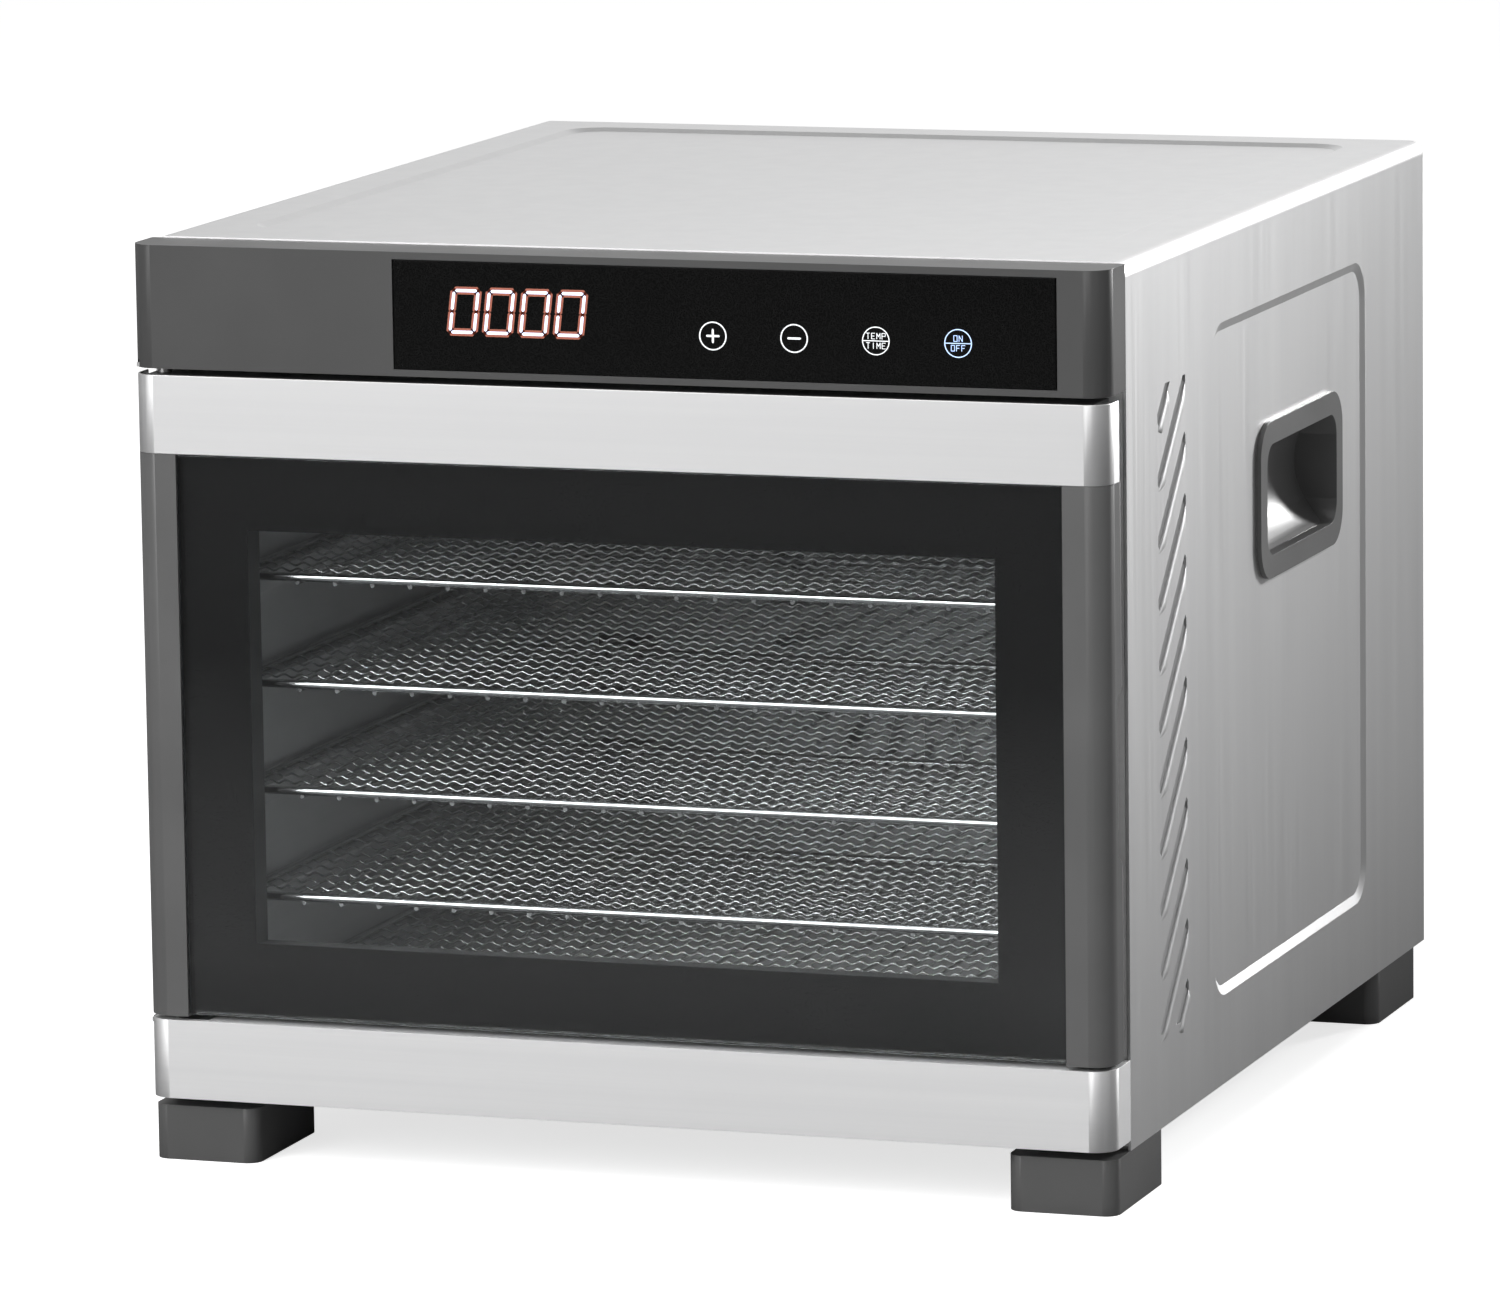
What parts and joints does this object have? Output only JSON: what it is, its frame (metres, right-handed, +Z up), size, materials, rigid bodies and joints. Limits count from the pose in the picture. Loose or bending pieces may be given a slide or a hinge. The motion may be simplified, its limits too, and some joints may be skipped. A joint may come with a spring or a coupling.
{
  "type": "food dehydrator",
  "caption": "Cabinet food dehydrator with brushed steel sides, hinged glass door, touch control strip, sliding wire trays and a rear fan.",
  "frame": {"origin": "under the middle of the cabinet, on the surface the feet stand on", "axes": "+X to the right seen from the front, +Y to the back (the door faces -Y), +Z up"},
  "size_m": [0.3464, 0.401, 0.317],
  "materials": {
    "brushed_sheet": "brushed",
    "grey_sheet": "satin",
    "dark_plastic": "satin",
    "foot_plastic": "satin",
    "black_gloss": "gloss",
    "zinc_steel": "satin",
    "circuit_board": "satin",
    "heater_tube": "satin",
    "motor_case": "satin",
    "ceramic": "satin",
    "fan_alloy": "satin",
    "clear_glass": "polished",
    "seal_rubber": "matte",
    "magnet": "matte",
    "tray_wire": "polished"
  },
  "bodies": {
    "cabinet": {"outer_shell": "brushed_sheet", "back_panel": "grey_sheet", "base_pan": "grey_sheet", "front_frame": "grey_sheet", "bottom_trim": "brushed_sheet", "control_fascia": "dark_plastic", "touch_panel": "black_gloss", "display_module": "black_gloss", "key_springs": "zinc_steel", "control_board": "circuit_board", "power_board": "circuit_board", "cavity_ceiling": "grey_sheet", "cavity_floor": "grey_sheet", "left_liner": "grey_sheet", "right_liner": "grey_sheet", "rear_baffle": "grey_sheet", "heater_coil": "heater_tube", "heater_posts": "zinc_steel", "fan_motor": "motor_case", "motor_bracket": "zinc_steel", "thermal_cutout": "ceramic", "temperature_probe": "zinc_steel", "left_handle_cup": "dark_plastic", "right_handle_cup": "dark_plastic", "foot_front_left": "foot_plastic", "foot_front_right": "foot_plastic", "foot_rear_left": "foot_plastic", "foot_rear_right": "foot_plastic", "foot_screws": "zinc_steel", "rear_screws": "zinc_steel", "cord_gland": "foot_plastic", "hinge_bracket_top": "zinc_steel", "hinge_bracket_bottom": "zinc_steel", "catch_plates": "zinc_steel"},
    "fan": {"fan_impeller": "fan_alloy", "fan_shaft": "zinc_steel"},
    "door": {"door_glass": "clear_glass", "door_glass_print": "black_gloss", "door_left_post": "dark_plastic", "door_right_post": "dark_plastic", "door_top_rail": "dark_plastic", "door_top_band": "brushed_sheet", "door_inner_frame": "dark_plastic", "door_seal": "seal_rubber", "hinge_pin_top": "zinc_steel", "hinge_pin_bottom": "zinc_steel", "door_magnets": "magnet"},
    "tray_1": {"tray_1_frame": "tray_wire", "tray_1_mesh": "tray_wire"},
    "tray_2": {"tray_2_frame": "tray_wire", "tray_2_mesh": "tray_wire"},
    "tray_3": {"tray_3_frame": "tray_wire", "tray_3_mesh": "tray_wire"},
    "tray_4": {"tray_4_frame": "tray_wire", "tray_4_mesh": "tray_wire"},
    "tray_5": {"tray_5_frame": "tray_wire", "tray_5_mesh": "tray_wire"},
    "tray_6": {"tray_6_frame": "tray_wire", "tray_6_mesh": "tray_wire"}
  },
  "joints": [
    {"name": "door_hinge", "type": "hinge", "parent": "cabinet", "child": "door", "pos_m": [-0.164, -0.191, 0.15], "axis": [0, 0, -1], "range_deg": [0, 110]},
    {"name": "fan_spin", "type": "hinge", "parent": "cabinet", "child": "fan", "pos_m": [0, 0.16, 0.1471], "axis": [0, 1, 0], "continuous": true},
    {"name": "tray_1_slide", "type": "slide", "parent": "cabinet", "child": "tray_1", "axis": [0, -1, 0], "range_m": [0, 0.005]},
    {"name": "tray_2_slide", "type": "slide", "parent": "cabinet", "child": "tray_2", "axis": [0, -1, 0], "range_m": [0, 0.005]},
    {"name": "tray_3_slide", "type": "slide", "parent": "cabinet", "child": "tray_3", "axis": [0, -1, 0], "range_m": [0, 0.005]},
    {"name": "tray_4_slide", "type": "slide", "parent": "cabinet", "child": "tray_4", "axis": [0, -1, 0], "range_m": [0, 0.005]},
    {"name": "tray_5_slide", "type": "slide", "parent": "cabinet", "child": "tray_5", "axis": [0, -1, 0], "range_m": [0, 0.005]},
    {"name": "tray_6_slide", "type": "slide", "parent": "cabinet", "child": "tray_6", "axis": [0, -1, 0], "range_m": [0, 0.005]}
  ]
}
